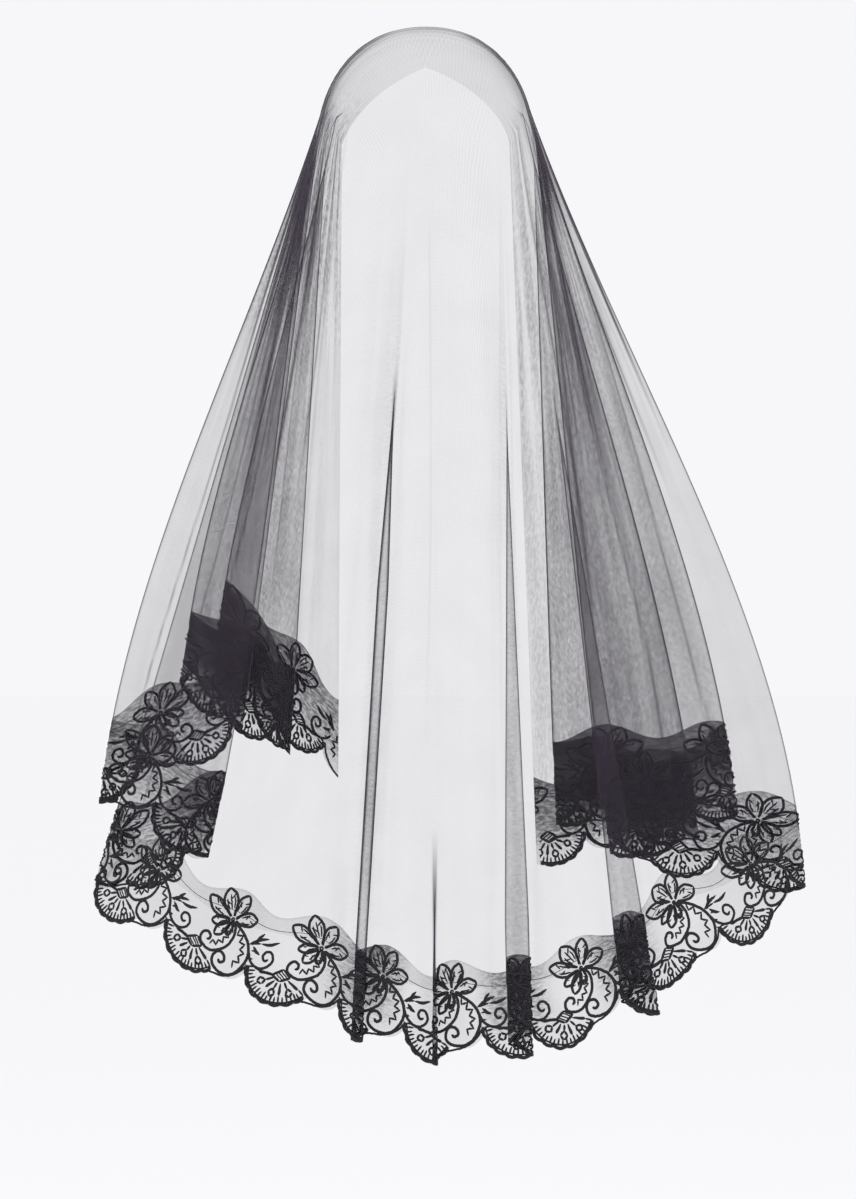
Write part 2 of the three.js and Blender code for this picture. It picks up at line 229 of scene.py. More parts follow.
def column_at(values, along):
    return np.interp(along, hem_along, values)


def hanging_points(along, share):
    """Places on the part of the cloth that hangs free, from the crown at share 0 to the hem at share 1."""
    bow = column_at(hem_lines[:, BOW], along)
    spread = share + bow * share * share * (1 - share)
    start = column_at(hem_lines[:, START], along)
    pleat = np.clip((share - start) / (column_at(hem_lines[:, FULL], along) - start), 0, 1)
    places = []
    for axis, part, shift in ((0, spread, SHIFT_X), (1, spread, SHIFT_Y), (2, share, None)):
        leave = column_at(hem_leaves[:, axis], along)
        place = leave + (column_at(hem_lines[:, axis], along) - leave) * part
        if shift is not None:
            place = place + pleat * column_at(hem_lines[:, shift], along)
        places.append(place)
    return np.stack(places, axis=-1)


def crown_points(along, share):
    """Places on the part of the cloth that lies on the crown, from the front point to where it leaves."""
    part = np.asarray(share)[..., None]
    even = np.stack([column_at(even_leaves[:, axis], along) for axis in range(3)], axis=-1)
    leave = np.stack([column_at(hem_leaves[:, axis], along) for axis in range(3)], axis=-1)
    start = unit(FRONT_POINT - CROWN_CENTRE)
    end = unit(even + (leave - even) * part**CROWN_TURN_OUT - CROWN_CENTRE)
    angle = np.arccos(np.clip((end * start).sum(-1), -1, 1))[..., None]
    return on_crown(start * np.sin((1 - part) * angle) + end * np.sin(part * angle))


def smooth_over(values, reach):
    """Values on the fine hem, evened out over a reach in millimetres."""
    even = np.linspace(0, HEM_LENGTH, FINE_STEPS)
    cells = reach / (HEM_LENGTH / FINE_STEPS)
    half = 3 * int(cells)
    window = np.exp(-0.5 * (np.arange(-half, half + 1) / cells) ** 2)
    padded = np.pad(np.interp(even, hem_along, values), half, mode="edge")
    return np.interp(hem_along, even, np.convolve(padded, window / window.sum(), mode="valid"))


# On the crown the lines set out evenly, and turn to where each leaves it only near the rim
CROWN_EVENING = 70.0
CROWN_TURN_OUT = 5
even_leaves = np.stack([smooth_over(hem_leaves[:, axis], CROWN_EVENING) for axis in range(3)], axis=1)

# The lace stands square to the hem, so its heights lean against the lines of cloth where the hem slopes
LEAN_EVENING = 45.0
MOST_LEAN = 0.4
hem_tangent = unit(np.gradient(hem_places, axis=0))
hem_up = unit(hanging_points(hem_along, 0.9) - hanging_points(hem_along, 1.0))
hem_lean = smooth_over((hem_tangent * hem_up).sum(1), LEAN_EVENING)
hem_lean = np.clip(hem_lean, -MOST_LEAN, MOST_LEAN)


def lace_points(along, height):
    """Places on the cloth at distances along the hem and heights over the line of the flowers."""
    rise = height + LACE_DROP
    lean = column_at(hem_lean, along)
    square = np.sqrt(1 - lean * lean)
    foot = np.clip(along - rise * lean / square, 0, HEM_LENGTH)
    return hanging_points(foot, 1 - rise / square / column_at(hem_fall, foot))


def lace_frame(along, height):
    """Places on the lace and the outward direction there."""
    step = 0.4
    here = lace_points(along, height)
    across = lace_points(along + step, height) - lace_points(along - step, height)
    up = lace_points(along, height + step) - lace_points(along, height - step)
    return here, unit(np.cross(across, up))


def mesh_piece(name, points, faces, material):
    """An object made from points in millimetres and an array of faces, riding on the veil's one body."""
    mesh = bpy.data.meshes.new(name)
    points = np.asarray(points, np.float32) * MM
    faces = np.asarray(faces, np.int32)
    sides = faces.shape[1]
    mesh.vertices.add(len(points))
    mesh.vertices.foreach_set("co", points.ravel())
    mesh.loops.add(faces.size)
    mesh.loops.foreach_set("vertex_index", faces.ravel())
    mesh.polygons.add(len(faces))
    mesh.polygons.foreach_set("loop_start", np.arange(0, faces.size, sides, dtype=np.int32))
    mesh.polygons.foreach_set("use_smooth", np.full(len(faces), True))
    mesh.update(calc_edges=True)
    mesh.validate()
    piece = bpy.data.objects.new(name, mesh)
    bpy.context.scene.collection.objects.link(piece)
    mesh.materials.append(material)
    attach(piece, "root")
    return piece


def add_uv(piece, name, uv):
    """Gives a piece a pair of coordinates for each point, made from millimetres into metres."""
    layer = piece.data.uv_layers.new(name=name)
    corners = np.zeros(len(piece.data.loops), np.int32)
    piece.data.loops.foreach_get("vertex_index", corners)
    layer.data.foreach_set("uv", (np.asarray(uv, np.float32) * MM)[corners].ravel())


def add_value(piece, name, values):
    layer = piece.data.attributes.new(name, "FLOAT", "POINT")
    layer.data.foreach_set("value", np.asarray(values, np.float32).ravel())


def grid_faces(rows, columns):
    first = (np.arange(rows - 1)[:, None] * columns + np.arange(columns - 1)[None, :]).ravel()
    return np.stack([first, first + columns, first + columns + 1, first + 1], axis=1)


# Crests: where the hem turns most sharply, and the thin gathers that the table lists
CREST_EVENING = 1.2
CREST_TURNING = 0.06
CREST_WIDTH = 1.2
CREST_COVER = 0.8
hem_heading = np.unwrap(np.arctan2(hem_tangent[:, 1], hem_tangent[:, 0]))
hem_turning = smooth_over(np.abs(np.gradient(hem_heading, hem_along)), CREST_EVENING)


def crest_places():
    rises = (hem_turning[1:-1] > hem_turning[:-2]) & (hem_turning[1:-1] >= hem_turning[2:])
    return hem_along[1:-1][rises & (hem_turning[1:-1] > CREST_TURNING)]


CRESTS = crest_places()
LINE_ALONG = [hem_along[np.linalg.norm(hem_places - np.array(fold[1:4]), axis=1).argmin()] for fold in FOLDS]

# Place between the lines of the fold table, width in mm, cover, and the shares of the fall where each
# thin gather fades in and out
GATHERS = [
    (0.5, 1.2, 0.40, 0.0, 0.55),
    (1.5, 0.9, 0.40, 0.0, 0.75),
    (2.4, 1.6, 0.60, 0.0, 0.60),
    (3.1, 0.8, 0.45, 0.0, 0.45),
    (3.5, 0.9, 0.50, 0.0, 0.80),
    (4.3, 2.0, 0.60, 0.0, 0.50),
    (4.8, 0.9, 0.45, 0.0, 0.95),
    (5.2, 0.8, 0.45, 0.0, 0.40),
    (5.5, 1.0, 0.40, 0.0, 0.35),
    (6.4, 2.4, 0.55, 0.0, 0.45),
    (6.7, 0.9, 0.40, 0.1, 0.90),
    (6.9, 1.3, 0.80, 0.0, 0.30),
    (7.1, 1.0, 0.80, 0.0, 0.36),
    (7.5, 1.4, 0.40, 0.0, 0.40),
    (8.4, 0.9, 0.25, 0.0, 0.45),
    (9.5, 0.8, 0.14, 0.0, 0.55),
    (12.5, 0.9, 0.07, 0.1, 0.60),
    (14.6, 0.9, 0.07, 0.1, 0.70),
    (18.6, 0.9, 0.18, 0.0, 0.60),
    (19.6, 1.0, 0.30, 0.0, 0.50),
    (20.2, 0.8, 0.45, 0.0, 0.30),
    (20.5, 1.6, 0.50, 0.0, 0.40),
    (20.9, 1.3, 0.80, 0.0, 0.30),
    (21.1, 1.0, 0.80, 0.0, 0.34),
    (21.3, 0.9, 0.45, 0.0, 0.80),
    (21.6, 2.0, 0.60, 0.0, 0.50),
    (22.2, 0.8, 0.45, 0.0, 0.45),
    (22.5, 1.0, 0.40, 0.0, 0.40),
    (23.4, 0.9, 0.50, 0.0, 0.90),
    (24.5, 1.6, 0.50, 0.0, 0.60),
    (25.5, 1.0, 0.40, 0.0, 0.70),
]

# Shares of the fall over which a crest comes in below a pleat's start or below the crown, how much of it
# shows at the crown already, and how the thin gathers come in, go out and wander from side to side in mm
FROM_CROWN = 0.01
PLEAT_CREST_FADE = 0.1
CREST_FADE = 0.12
CREST_AT_CROWN = 0.4
GATHER_FADE_IN = 0.06
GATHER_FADE_OUT = 0.25
GATHER_WANDER = 9
GATHER_WANDER_WAVE = 5
GATHER_WANDER_PHASE = 7


def crest_cover(along, share, scale):
    """Extra cover on crests and thin gathers. Scale is how far the cloth has drawn in from the hem."""
    along = np.asarray(along)
    start = column_at(hem_lines[:, START], along)
    below_pleat = smoothstep((share - start) / PLEAT_CREST_FADE)
    below_crown = smoothstep(share / CREST_FADE + CREST_AT_CROWN)
    pressed = np.where(start > FROM_CROWN, below_pleat, below_crown)
    gap = np.abs(along[..., None] - CRESTS).min(-1) * scale
    cover = CREST_COVER * np.exp(-((gap / CREST_WIDTH) ** 2)) * pressed
    for place, width, strength, begin, end in GATHERS:
        centre = np.interp(place, np.arange(len(FOLDS)), LINE_ALONG)
        fade_out = 1 - smoothstep((share - end) / GATHER_FADE_OUT + 0.5)
        fade = smoothstep((share - begin) / GATHER_FADE_IN + 0.5) * fade_out
        phase = GATHER_WANDER_WAVE * share + place * GATHER_WANDER_PHASE
        wander = centre + GATHER_WANDER * np.sin(phase)
        cover = cover + strength * fade * np.exp(-(((along - wander) * scale / width) ** 2))
    return cover


# How much of the fold table's gathering shows in the net and the share of the fall over which it comes in,
# and how much closer the net is gathered where it leaves the crown, on the left and on the right
NET_GATHER = 0.75
TABLE_FADE = 0.3
CROWN_GATHER = (1.5, 0.35)

# The crown's side, by the cosine of a line's turn round it, where it starts and how far it takes to come in
CROWN_SIDE_COSINE = (0.72, 0.22)

# Shares of the fall below the crown to which its gathers stay whole, and over which its gathers, its fold
# lines and its streaks then fade
CROWN_WHOLE = 0.1
CROWN_GATHER_FADE = 0.26
CROWN_FOLD_FADE = 0.45
CROWN_STREAK_FADE = 0.18

# How plainly the folds of the table show, and how plainly folds show at the least
TABLE_CONTRAST = 0.9
LEAST_CONTRAST = 0.04

# Streaks: where they start on either side of the crown's middle and how far they take to come in, the
# middle and reach of their band along y, all in mm, and how much of them shows on the crown's top
CROWN_SIDE = (20.0, 50.0)
CROWN_RIDGE = (-6.0, 32.0)
CROWN_TOP_STREAKS = 0.25

# Dark gathers that run down the crown's sides: place and reach along y in mm, and cover
CROWN_LINES = [
    (-44, 1.2, 0.8),
    (-34, 2.5, 1.6),
    (-19, 2.0, 0.8),
    (-12, 3.0, 0.9),
    (-5, 4.0, 1.0),
    (3, 4.0, 1.0),
    (11, 3.0, 0.9),
    (18, 1.5, 0.7),
]


def near_crown_side(along, share, reach):
    """1 at the sides of the crown and over the front, fading to 0 at the back and down the fall."""
    turn = np.radians(column_at(hem_lines[:, TURN], along))
    start, width = CROWN_SIDE_COSINE
    side = np.where(np.sin(turn) > 0, 1.0, smoothstep((np.abs(np.cos(turn)) - start) / width))
    return side * (1 - smoothstep((share - CROWN_WHOLE) / reach))


def net_gather(along, share):
    """How many times closer than flat the net is gathered."""
    turn = np.radians(column_at(hem_lines[:, TURN], along))
    left, right = CROWN_GATHER
    high = right + (left - right) * smoothstep(0.5 - np.cos(turn))
    high = high * near_crown_side(along, share, CROWN_GATHER_FADE)
    low = column_at(hem_lines[:, GATHER], along) - 1
    return 1 + NET_GATHER * low * smoothstep(share / TABLE_FADE) + high


def fold_contrast(along, share):
    """How plainly fine folds show in the net, from 0 to 1."""
    high = near_crown_side(along, share, CROWN_FOLD_FADE)
    low = column_at(hem_lines[:, GATHER], along) - 1
    return np.clip(high + TABLE_CONTRAST * low * smoothstep(share / TABLE_FADE), LEAST_CONTRAST, 1)


def crown_streaks(points, share):
    """Where the cloth lies in fine gathers down the sides of the crown, from 0 to 1."""
    start, width = CROWN_SIDE
    side = smoothstep((np.abs(points[..., 0]) - start) / width)
    middle, reach = CROWN_RIDGE
    ridge = np.exp(-(((points[..., 1] - middle) / reach) ** 2))
    fade = 1 - smoothstep(share / CROWN_STREAK_FADE)
    return (CROWN_TOP_STREAKS + (1 - CROWN_TOP_STREAKS) * side) * ridge * fade


# Columns of the net stand closer together in the folds
NET_COLUMNS = 1300
CROWN_ROWS = 16
HANGING_ROWS = 54
COLUMN_LENGTH = 3.0
COLUMN_TURN = 0.22
CLOSEST_COLUMNS = 0.6

# On the crown: the share of the first row, the powers by which gathers and folds come in towards the rim,
# where crests come in and how fast, and the share of the fall that the crown counts for
FIRST_CROWN_SHARE = 0.004
GATHER_POWER = 3
FOLD_POWER = 8
CREST_START = 0.8
CREST_RATE = 5
CROWN_FALL = 0.1


def net_columns(count):
    step = np.diff(hem_along)
    turn = np.abs(np.diff(hem_heading))
    closeness = np.minimum(turn / COLUMN_TURN, step / CLOSEST_COLUMNS)
    measure = np.concatenate([[0], np.cumsum(step / COLUMN_LENGTH + closeness)])
    return np.interp(np.linspace(0, measure[-1], count), measure, hem_along)


def repeat_place(along):
    phase = (along - FIRST_FLOWER) / REPEAT
    return (phase - np.round(phase)) * REPEAT


def top_edge(along):
    return TOP_EDGE + TOP_EDGE_WAVE * np.cos(2 * math.pi * repeat_place(along) / REPEAT)


def lobe(shape, place):
    centre, half_width, base, depth = shape
    across = np.clip(np.abs((place - centre) / half_width), 0, 1)
    return np.where(across < 1, base - depth * np.sqrt(1 - across**2), NOTCH_HEIGHT)


def scallop_edge(along):
    place = repeat_place(along)
    lobes = [lobe(FAN_LOBE, place), lobe(FAN_LOBE, place - REPEAT), lobe(SCROLL_LOBE, place)]
    return np.minimum(NOTCH_HEIGHT, np.minimum.reduce(lobes))


def make_net(material):
    columns = net_columns(NET_COLUMNS)
    rows, crests, gathers, streaks, folds, falls = [], [], [], [], [], []
    shares = np.linspace(FIRST_CROWN_SHARE, 1, CROWN_ROWS, endpoint=False)
    for share in shares:
        rows.append(crown_points(columns, np.full(NET_COLUMNS, share)))
        gathers.append(1 + (net_gather(columns, 0.0) - 1) * share**GATHER_POWER)
        folds.append(fold_contrast(columns, 0.0) * share**FOLD_POWER)
        streaks.append(crown_streaks(rows[-1], 0.0))
        falls.append(np.full(NET_COLUMNS, CROWN_FALL * (share - 1)))
    cut = 1 - (LACE_DROP + NET_CUT_EDGE) / column_at(hem_fall, columns)
    for step in np.linspace(0, 1, HANGING_ROWS):
        rows.append(hanging_points(columns, cut * step))
        gathers.append(net_gather(columns, cut * step))
        folds.append(fold_contrast(columns, cut * step))
        streaks.append(crown_streaks(rows[-1], cut * step))
        falls.append(cut * step)
    points = np.array(rows)
    spread = np.linalg.norm(np.gradient(points, axis=1), axis=2) / np.gradient(columns)[None, :]
    from_crown = column_at(hem_lines[:, START], columns) < FROM_CROWN
    for share, scale in zip(shares, spread):
        fade = smoothstep((share - CREST_START) * CREST_RATE) * from_crown
        crests.append(crest_cover(columns, 0.0, scale) * fade)
    for step, scale in zip(np.linspace(0, 1, HANGING_ROWS), spread[CROWN_ROWS:]):
        crests.append(crest_cover(columns, cut * step, scale))
    steps = np.linalg.norm(np.diff(points, axis=0), axis=2)
    down = np.concatenate([np.zeros((1, NET_COLUMNS)), np.cumsum(steps, axis=0)])
    angle = math.pi * columns / HEM_LENGTH
    flat = np.stack([down * np.cos(angle), down * np.sin(angle)], axis=-1)
    piece = mesh_piece("tulle", points.reshape(-1, 3), grid_faces(len(rows), NET_COLUMNS), material)
    along = np.broadcast_to(columns, points.shape[:2])
    add_uv(piece, "cloth", flat.reshape(-1, 2))
    add_uv(piece, "fall", np.stack([along, falls], axis=-1).reshape(-1, 2))
    add_value(piece, "crest", crests)
    add_value(piece, "gather", gathers)
    add_value(piece, "streaks", streaks)
    add_value(piece, "folds", folds)
    return piece


# The net under the lace: its columns and rows, how far it stands off the cloth's line, and its extra cover
# on crests and along its upper edge
GROUND_COLUMN = 1.5
GROUND_ROWS = 26
GROUND_OFFSET = 0.5
GROUND_CREST_COVER = 0.25
GROUND_EDGE_COVER = 0.12
GROUND_EDGE_WIDTH = 0.7

# How much more the lace bunches up than the net above it, from none at the foot over a rise in height
LACE_GATHER = 5.5
LACE_GATHER_FOOT = -52.0
LACE_GATHER_RISE = 38.0


def make_lace_ground(material):
    count = int(HEM_LENGTH / GROUND_COLUMN)
    columns = np.linspace(0, HEM_LENGTH, count)
    levels = np.linspace(0, 1, GROUND_ROWS)[:, None]
    heights = top_edge(columns) + (scallop_edge(columns) - top_edge(columns)) * levels
    along = np.broadcast_to(columns, heights.shape)
    points, outward = lace_frame(along, heights)
    points = points + outward * GROUND_OFFSET
    piece = mesh_piece("lace_ground", points.reshape(-1, 3), grid_faces(len(levels), count), material)
    add_uv(piece, "cloth", np.stack([along, heights], axis=-1).reshape(-1, 2))
    add_uv(piece, "fall", np.stack([along, np.ones_like(heights)], axis=-1).reshape(-1, 2))
    gap = np.abs(along[..., None] - CRESTS).min(-1)
    crest = np.exp(-((gap / CREST_WIDTH) ** 2))
    edge = np.exp(-(((top_edge(columns) - heights) / GROUND_EDGE_WIDTH) ** 2))
    add_value(piece, "crest", GROUND_CREST_COVER * crest + GROUND_EDGE_COVER * edge)
    closeness = smoothstep((heights - LACE_GATHER_FOOT) / LACE_GATHER_RISE)
    add_value(piece, "gather", 1 + LACE_GATHER * (column_at(hem_lines[:, GATHER], along) - 1) * closeness)
    return piece


def curve_through(points, spacing=1.3, closed=False):
    """A smooth curve through a few points, as places at an even spacing."""
    points = np.array(points, float)
    if closed:
        padded = np.vstack([points[-1], points, points[:2]])
    else:
        padded = np.vstack([2 * points[0] - points[1], points, 2 * points[-1] - points[-2]])
    fine = []
    for i in range(1, len(padded) - 2):
        a, b, c, d = padded[i - 1 : i + 3]
        for p in np.linspace(0, 1, 12, endpoint=False):
            cubic = (3 * b - a - 3 * c + d) * p**3
            fine.append(0.5 * (2 * b + (c - a) * p + (2 * a - 5 * b + 4 * c - d) * p**2 + cubic))
    fine.append(padded[-2])
    fine = np.array(fine)
    along = np.concatenate([[0], np.cumsum(np.linalg.norm(np.diff(fine, axis=0), axis=1))])
    even = np.linspace(0, along[-1], max(3, int(round(along[-1] / spacing)) + 1))
    return np.stack([np.interp(even, along, fine[:, 0]), np.interp(even, along, fine[:, 1])], axis=1)


def straight(start, end, spacing=1.4):
    return np.linspace(start, end, max(3, int(math.dist(start, end) / spacing) + 1))


def direction(angle):
    return np.array([math.cos(math.radians(angle)), math.sin(math.radians(angle))])


# One repeat of the lace, charted: x along the hem and y up from the heart of the flower, in mm.
# Angle, length, half width and sideways bend of each petal, and how many lines of stitches fill it
PETALS = [
    (167, 32, 6.2, -2, 2),
    (122, 28, 7.4, 0, 3),
    (70, 25, 6.0, 1, 2),
    (17, 25, 6.2, -1, 2),
    (201, 22, 4.0, 1, 1),
    (229, 22, 4.6, 2, 2),
    (268, 14.5, 2.8, 0, 1),
]

# Angle and length of each stamen
STAMENS = [(248, 9), (294, 11), (318, 8)]

# Shares of a petal's length and half width along one side of it, and of the half width on each side
PETAL_SIDE = [(0.12, 0.16), (0.28, 0.60), (0.50, 0.97), (0.72, 0.97), (0.88, 0.58), (1.0, 0.0)]
PETAL_SIDES = (1, -0.92)

# Where a line of stitches starts, widens and ends along a petal, and how it closes in at both ends
STITCHES_START = 0.34
STITCHES_MIDDLE = 0.52
STITCHES_END = 0.80
STITCHES_ROUNDING = 0.22
STITCHES_NARROW = 0.6
STITCHES_WIDE = 1.05

# Start and side of each vein of a petal, its run along it, and the shares of the half width it joins
VEINS = [(0.50, 1), (0.66, -1)]
VEIN_RUN = 0.14
VEIN_INNER = 0.1
VEIN_OUTER = 0.72

# Widths of the flower's cords and the radius of its heart
OUTLINE = 2.5
FILLING = 1.55
STAMEN = 1.5
HEART = 1.8
HEART_RADIUS = 1.5


def petal(angle, length, half_width, bend, lines):
    """A petal from the heart of the flower: a bold outline, filled with lines of stitches along it."""
    outward = direction(angle)
    aside = np.array([-outward[1], outward[0]])

    def place(along, across):
        return outward * along * length + aside * (across * half_width + bend * along * along)

    strokes = []
    for side in PETAL_SIDES:
        edge = [place(along, across * side) for along, across in PETAL_SIDE]
        strokes.append((curve_through(edge, 1.45), OUTLINE))
    for across in np.linspace(-0.5, 0.5, lines):
        start = place(STITCHES_START, across * STITCHES_NARROW)
        end = place(STITCHES_END - STITCHES_ROUNDING * abs(across), across * STITCHES_WIDE)
        path = [start, place(STITCHES_MIDDLE, across), end]
        strokes.append((curve_through(path, 1.6), FILLING))
    for along, side in VEINS:
        inner = place(along, VEIN_INNER * side)
        outer = place(along + VEIN_RUN, VEIN_OUTER * side)
        strokes.append((straight(inner, outer), FILLING))
    return strokes


def flower():
    strokes = []
    for shape in PETALS:
        strokes += petal(*shape)
    for angle, length in STAMENS:
        strokes.append((straight((0, 0), direction(angle) * length), STAMEN))
    ring = [direction(angle) * HEART_RADIUS for angle in range(0, 360, 60)]
    strokes.append((curve_through(ring, 1.0, closed=True), HEART))
    return strokes


def feather(path, swing, pitch):
    """Feather stitch that swings from side to side of a path."""
    line = curve_through(path, pitch)
    tangent = unit(np.gradient(line, axis=0))
    aside = np.stack([-tangent[:, 1], tangent[:, 0]], axis=1)
    sides = np.where(np.arange(len(line)) % 2 == 0, 1.0, -1.0)[:, None]
    corners = line + aside * sides * swing
    pieces = [np.linspace(corners[i], corners[i + 1], 3)[:-1] for i in range(len(corners) - 1)]
    return np.concatenate(pieces + [corners[-1:]])


# Paths of the two scrolls, and of the spiral that ends the sprig
OUTER_SCROLL = [
    (2, -1), (6.6, -2.5), (16.7, -8.5), (23.9, -16.6), (26.3, -27.4), (21, -39.6), (13.4, -44.9),
    (4.2, -45), (-2.8, -41.5), (-5, -36.4), (-3.7, -31.4), (0.1, -29), (5, -31), (6.6, -35.4),
    (3.2, -37.6), (0.6, -35.4),
]
INNER_SCROLL = [
    (1, -2), (5.2, -5.3), (6.5, -12.9), (3.7, -22), (-3.4, -28.9), (-11.4, -32.7), (-20.1, -30.9),
    (-23.6, -27), (-22.8, -22), (-19, -19.2), (-15, -20.8), (-14.6, -24), (-17.2, -25.6),
]
SPIRAL = [
    (25.8, -20.6), (28.9, -26.6), (35.7, -31.3), (42.7, -31.4), (48.3, -27.2), (49.5, -22.2), (46.3, -17.4),
    (41.5, -17.6), (39.8, -21.8), (42.6, -25), (45.6, -23.2),
]

# Path, swing, pitch and cord width of each line of feather stitch, and start and angle of each thorn
FEATHERS = [
    ([(8, -6.5), (14, -11.5), (18.6, -19), (19.4, -28), (14, -36)], 2.2, 3.4, 2.1),
    ([(1.5, -8.5), (0, -16.5), (-5, -23), (-13, -26.5)], 1.9, 3.1, 2.0),
]
THORNS = [((24.5, -13), -20), ((27.5, -19), 5), ((28.2, -25), -10), ((27, -31), -35)]
THORN_LENGTH = 3.4

# Widths of the cords of the scrolls and thorns
OUTER_CORD = 2.7
INNER_CORD = 2.6
THORN = 1.9


def scrolls():
    strokes = [(curve_through(OUTER_SCROLL), OUTER_CORD), (curve_through(INNER_SCROLL), INNER_CORD)]
    for path, swing, pitch, width in FEATHERS:
        strokes.append((feather(path, swing, pitch), width))
    for start, angle in THORNS:
        strokes.append((straight(start, np.array(start) + direction(angle) * THORN_LENGTH), THORN))
    return strokes


# Start, end, bulge upwards and width of each leaf beside the sprig, and a leaf's width at its tips
LEAVES = [
    ((24, -14), (40.5, -6.5), 1.4, 2.0),
    ((29, -11.5), (35, -3), 0.8, 1.6),
    ((34.5, -11.5), (51, -7.5), -1.4, 1.8),
    ((28, -15), (36.5, -20.5), -1.0, 2.0),
]
LEAF_TIP = 1.1

# Path and cord width of the spiral, of the stem of the leaves and of the spiral's tail
SPRIG_CORDS = [
    (SPIRAL, 2.4),
    ([(24, -14), (28, -12.8), (34.5, -11.5)], 1.8),
    ([(35.7, -31.3), (44, -33.2), (55, -34.4)], 2.2),
]


def leaf(start, end, bulge, width):
    middle = ((start[0] + end[0]) / 2, (start[1] + end[1]) / 2 + bulge)
    path = curve_through([start, middle, end], 1.2)
    return path, LEAF_TIP + width * np.sin(np.linspace(0, math.pi, len(path)))


def sprig():
    spiral, *stems = [(curve_through(path), width) for path, width in SPRIG_CORDS]
    return [spiral] + [leaf(*shape) for shape in LEAVES] + stems


# The fan: a hatched hub, hollow eyes on stems, and bars with round ends between them
FAN_HUB = np.array([-26.5, -33.0])
FAN_EYES = [(-43.0, -40.5), (-31.0, -48.6), (-16.0, -46.6)]
FAN_BARS = [(-47, -33.5), (-37.2, -45.2), (-23.6, -49.8), (-9.0, -41.5)]
HUB_CORNERS = [(-8.5, -1.0), (0.5, 5.0), (8.0, -0.5), (-0.5, -5.5)]
HATCHING = (0.25, 0.5, 0.75)

# Reach of an eye towards the hub, to each side and outwards, and where stems and bars start from the hub
EYE_INWARD = 4.0
EYE_ASIDE = 3.2
EYE_OUTWARD = 3.6
STEM_START = 6.5
BAR_START = 7

# Widths of the fan's cords, a bar's at its start and end
HUB_CORD = 2.4
HATCH_CORD = 1.3
EYE_CORD = 2.3
STEM_CORD = 2.2
BAR_CORD = (1.6, 3.3)


def closed_ring(corners, width, spacing=1.4):
    """Straight cords from corner to corner and back to the first."""
    pairs = zip(corners, corners[1:] + corners[:1])
    return [(straight(start, end, spacing), width) for start, end in pairs]


def fan():
    hub = [FAN_HUB + corner for corner in HUB_CORNERS]
    strokes = closed_ring(hub, HUB_CORD)
    for share in HATCHING:
        top = hub[0] + (hub[1] - hub[0]) * share
        low = hub[3] + (hub[2] - hub[3]) * share
        strokes.append((straight(top, low), HATCH_CORD))
    for eye in FAN_EYES:
        outward = unit(np.array(eye) - FAN_HUB)
        aside = np.array([-outward[1], outward[0]]) * EYE_ASIDE
        corners = [eye - outward * EYE_INWARD, eye + aside, eye + outward * EYE_OUTWARD, eye - aside]
        strokes += closed_ring(corners, EYE_CORD, 1.2)
        strokes.append((straight(FAN_HUB + outward * STEM_START, corners[0]), STEM_CORD))
    for end in FAN_BARS:
        outward = unit(np.array(end) - FAN_HUB)
        path = straight(FAN_HUB + outward * BAR_START, np.array(end))
        strokes.append((path, np.linspace(*BAR_CORD, len(path))))
    return strokes


# The fan's edge: the angles it runs between, the waves of its thick cord, their depth and how far they are
# set back, how far inside the edge that cord, the thin cord beside it and the stitches lie, and the lengths
# of the stitches in turn
EDGE_ANGLES = (183, 326)
EDGE_STEPS = 72
EDGE_WAVES = 7
WAVE_DEPTH = 1.6
WAVE_BACK = 0.4
EDGE_INSET = 2.2
INNER_INSET = 1.4
STITCH_COUNT = 20
STITCH_INSET = 3.0
STITCH_LENGTHS = (5.2, 6.8)

# The plain run of the hem's cord under the scroll, and widths of the cords along the edge
UNDER_SCROLL = [(-6, -50), (2, -48.5), (9, -47.6), (17, -44.4), (24, -38.5), (28, -32)]
THICK_CORD = 3.1
INNER_EDGE_CORD = 1.6
STITCH_CORD = 1.9
PLAIN_CORD = 1.9


def fan_edge_places(count, inset):
    """Places along the fan's rounded edge, a little inside it, with the direction out of the fan."""
    centre, half_width, base, depth = FAN_LOBE
    outward = np.array([direction(angle) for angle in np.linspace(*EDGE_ANGLES, count)])
    across = centre + (half_width - inset) * outward[:, 0]
    return np.stack([across, base + (depth - inset) * outward[:, 1]], axis=1), outward


def edge_cord():
    """The hem's cord: thick waves round the fan with stitches inside, and a plain run under the scroll."""
    places, outward = fan_edge_places(EDGE_STEPS, EDGE_INSET)
    wave = np.abs(np.sin(np.linspace(0, EDGE_WAVES * math.pi, EDGE_STEPS)))[:, None]
    strokes = [(places + outward * (wave * WAVE_DEPTH - WAVE_BACK), THICK_CORD)]
    strokes.append((places - outward * INNER_INSET, INNER_EDGE_CORD))
    places, outward = fan_edge_places(STITCH_COUNT, STITCH_INSET)
    for i, (place, out) in enumerate(zip(places, outward)):
        strokes.append((straight(place, place - out * STITCH_LENGTHS[i % 2]), STITCH_CORD))
    strokes.append((curve_through(UNDER_SCROLL), PLAIN_CORD))
    return strokes


# A cord's section as shares of its width and height, its distance from the cloth's line, the margin left
# at the hem's two ends, how far repeats and their stitches stray by hand, and a cord's fewest places
CORD_SECTION = np.array([(-0.5, 0.0), (-0.3, 1.0), (0.3, 1.0), (0.5, 0.0), (0.3, -0.6), (-0.3, -0.6)])
LACE_OFFSET = 0.9
HEM_MARGIN = 3.0
REPEAT_STRAY = 0.16
STITCH_STRAY = 0.10
SHORTEST_CORD = 3
scatter = np.random.default_rng(11)


